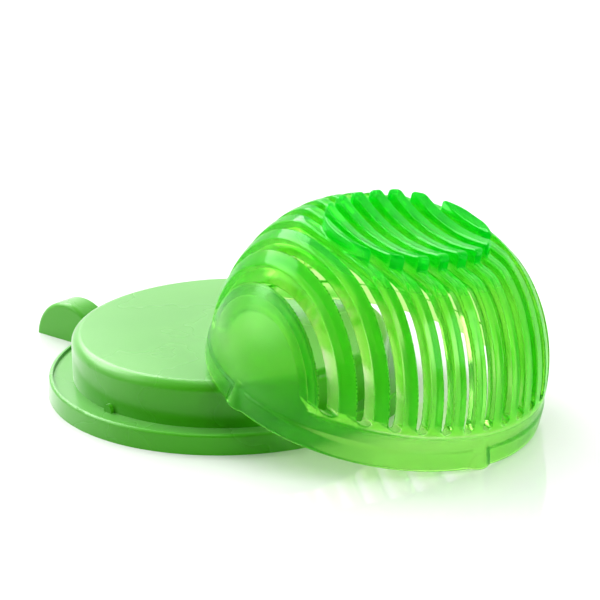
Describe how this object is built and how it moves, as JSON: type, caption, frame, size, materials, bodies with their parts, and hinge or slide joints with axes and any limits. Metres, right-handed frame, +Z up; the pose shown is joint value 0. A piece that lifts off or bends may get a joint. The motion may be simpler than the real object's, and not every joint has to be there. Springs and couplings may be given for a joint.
{
  "type": "salad cutting bowl",
  "caption": "Translucent green slotted salad cutting bowl leaning upside down on its round green cutting base.",
  "frame": {"origin": "centre of the base's underside, on the table", "axes": "+Z up, +X from the grip's side towards the side the bowl leans on, -Y towards the viewer of the picture"},
  "size_m": [0.2847, 0.243, 0.1202],
  "materials": {
    "base_green": "satin opaque green plastic",
    "bowl_green": "glossy translucent green plastic"
  },
  "bodies": {
    "root": {"cutting_base": "base_green", "slotted_bowl": "bowl_green"}
  },
  "joints": []
}
